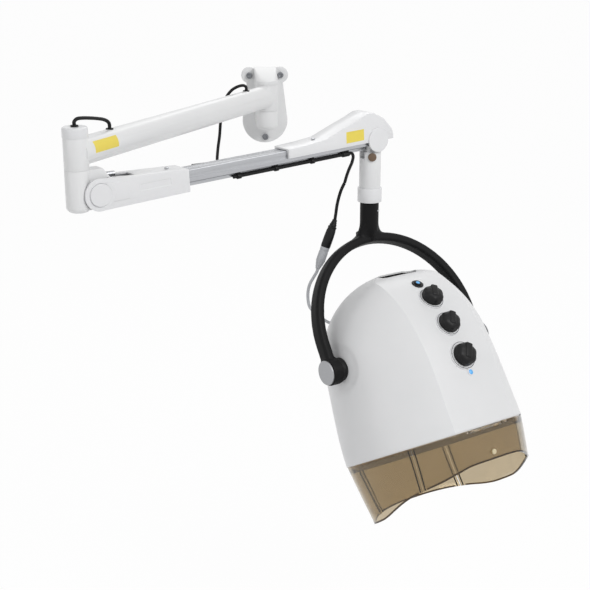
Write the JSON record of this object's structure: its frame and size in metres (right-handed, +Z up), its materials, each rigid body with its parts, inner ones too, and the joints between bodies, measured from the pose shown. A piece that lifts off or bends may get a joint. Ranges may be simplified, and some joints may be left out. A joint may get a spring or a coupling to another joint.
{
  "type": "wall-mounted hood dryer",
  "caption": "Wall-mounted salon hood dryer on a folding arm with a parallel link, a swivelling fork, a tilting hood and a smoked visor.",
  "frame": {"origin": "middle of the wall plate, on its wall face", "axes": "+X to the right as seen from the room, +Y into the wall, +Z up"},
  "size_m": [0.8914, 0.7927, 0.8437],
  "materials": {
    "white_paint": "satin white powder coat",
    "white_plastic": "satin white moulding",
    "gloss_white": "glossy white moulding",
    "steel": "plated screw heads",
    "dark_steel": "turned pins",
    "bronze": "sintered bushes",
    "grey_metal": "plain grey",
    "brushed_metal": "brushed silver",
    "silver": "satin silver",
    "black_rubber": "matte black cord",
    "brown_rubber": "brown rubber",
    "black_plastic": "matte black",
    "grey_plastic": "matte grey",
    "dark_plastic": "dark moulding",
    "black_paint": "satin black",
    "grey_cord": "grey cord",
    "bowl_plastic": "matte light grey",
    "heater_wire": "dark heating tube",
    "board_green": "green board",
    "smoked_visor": "clear smoked brown",
    "ivory_plastic": "ivory tab",
    "blue_lamp": "lit blue lens",
    "blue_button": "dark button with a lit blue middle"
  },
  "bodies": {
    "wall_bracket": {"wall_plate": "white_paint", "wall_screws": "steel", "wall_pivot_pin": "dark_steel"},
    "first_arm": {"wall_bushes": "bronze", "first_arm_tube": "white_paint", "post_cap": "white_plastic", "cord_grommets": "black_rubber", "loop_cord": "black_rubber", "mains_lead": "black_rubber", "mains_hank": "black_rubber", "hank_tie": "black_plastic", "mains_plug": "black_plastic", "elbow_bushes": "bronze"},
    "elbow": {"elbow_knuckle": "white_paint", "elbow_spindle": "dark_steel", "spring_anchor": "grey_metal", "rear_link_pin": "dark_steel"},
    "second_arm": {"arm_beam": "brushed_metal", "arm_pins": "dark_steel", "elbow_cover": "white_plastic", "front_cover": "white_plastic", "pivot_caps": "white_plastic", "cover_screws": "steel", "balance_spring": "grey_metal", "arm_cable": "black_rubber", "cable_gland": "grey_plastic", "upper_lead": "black_rubber"},
    "parallel_link": {"link_bar": "brushed_metal"},
    "front_knuckle": {"front_tube": "white_paint", "front_link_pin": "dark_steel", "bump_stop": "brown_rubber", "stem_collar": "white_plastic"},
    "fork": {"yoke": "black_paint", "stem_screw": "steel", "hub_caps": "silver", "lower_lead": "black_rubber", "cord_socket": "black_plastic", "grey_plug": "grey_plastic", "grey_lead": "grey_cord"},
    "hood": {"hood_shell": "gloss_white", "rim_ring": "dark_plastic", "tilt_pins": "dark_steel", "dial_rings": "silver", "top_vent": "black_plastic", "pilot_lamp": "blue_lamp", "cable_inlet": "grey_plastic", "inner_bowl": "bowl_plastic", "heater": "heater_wire", "motor": "grey_metal", "circuit_board": "board_green", "rear_visor": "smoked_visor", "side_visors": "smoked_visor", "visor_hinge_rod": "steel"},
    "visor_flap": {"front_visor": "smoked_visor", "visor_grip": "ivory_plastic"},
    "fan": {"fan_wheel": "dark_plastic"},
    "dial_1": {"knob_1": "black_plastic"},
    "dial_2": {"knob_2": "black_plastic"},
    "dial_3": {"knob_3": "black_plastic"},
    "button": {"power_button": "blue_button"}
  },
  "joints": [
    {"name": "wall_swivel", "type": "hinge", "parent": "wall_bracket", "child": "first_arm", "pos_m": [0, -0.061, 0.026], "axis": [0, 0, 1], "range_deg": [-44, 105]},
    {"name": "elbow_swivel", "type": "hinge", "parent": "first_arm", "child": "elbow", "pos_m": [-0.38035, -0.70159, 0.026], "axis": [0, 0, 1], "range_deg": [-170, 1]},
    {"name": "arm_lift", "type": "hinge", "parent": "elbow", "child": "second_arm", "pos_m": [-0.35437, -0.68659, -0.0484], "axis": [0.5, -0.866, 0], "range_deg": [-28, 26], "deforming": ["upper_lead"]},
    {"name": "link_swing", "type": "hinge", "parent": "elbow", "child": "parallel_link", "pos_m": [-0.35437, -0.68659, -0.0664], "axis": [0.5, -0.866, 0], "range_deg": [-28, 26]},
    {"name": "front_level", "type": "hinge", "parent": "second_arm", "child": "front_knuckle", "pos_m": [0.18706, -0.37399, -0.01673], "axis": [0.5, -0.866, 0], "range_deg": [-26, 28], "deforming": ["upper_lead"]},
    {"name": "fork_swivel", "type": "hinge", "parent": "front_knuckle", "child": "fork", "pos_m": [0.18706, -0.37399, -0.11873], "axis": [0, 0, 1], "range_deg": [-160, 160], "deforming": ["lower_lead"]},
    {"name": "hood_tilt", "type": "hinge", "parent": "fork", "child": "hood", "pos_m": [0.25161, -0.48579, -0.44106], "axis": [0.866, 0.5, 0], "range_deg": [-45, 60], "deforming": ["grey_lead"]},
    {"name": "visor_flip", "type": "hinge", "parent": "hood", "child": "visor_flap", "pos_m": [0.37216, -0.69459, -0.52265], "axis": [-0.866, -0.5, 0], "range_deg": [0, 75]},
    {"name": "fan_spin", "type": "hinge", "parent": "hood", "child": "fan", "pos_m": [0.22861, -0.44596, -0.36139], "axis": [-0.25, 0.433, 0.866], "continuous": true},
    {"name": "dial_1_turn", "type": "hinge", "parent": "hood", "child": "dial_1", "pos_m": [0.28597, -0.5453, -0.30901], "axis": [0.2608, -0.4516, 0.8532], "range_deg": [-135, 135]},
    {"name": "dial_2_turn", "type": "hinge", "parent": "hood", "child": "dial_2", "pos_m": [0.31104, -0.58873, -0.34819], "axis": [0.3461, -0.5994, 0.7218], "range_deg": [-135, 135]},
    {"name": "dial_3_turn", "type": "hinge", "parent": "hood", "child": "dial_3", "pos_m": [0.33382, -0.62818, -0.40041], "axis": [0.4021, -0.6964, 0.5945], "range_deg": [-135, 135]},
    {"name": "button_press", "type": "slide", "parent": "hood", "child": "button", "axis": [-0.16, 0.2771, -0.9474], "range_m": [0, 0.002], "stiffness_N_per_m": 400}
  ],
  "couplings": [
    {"joint": "link_swing", "follows": "arm_lift", "ratio": 1},
    {"joint": "front_level", "follows": "arm_lift", "ratio": -1}
  ]
}
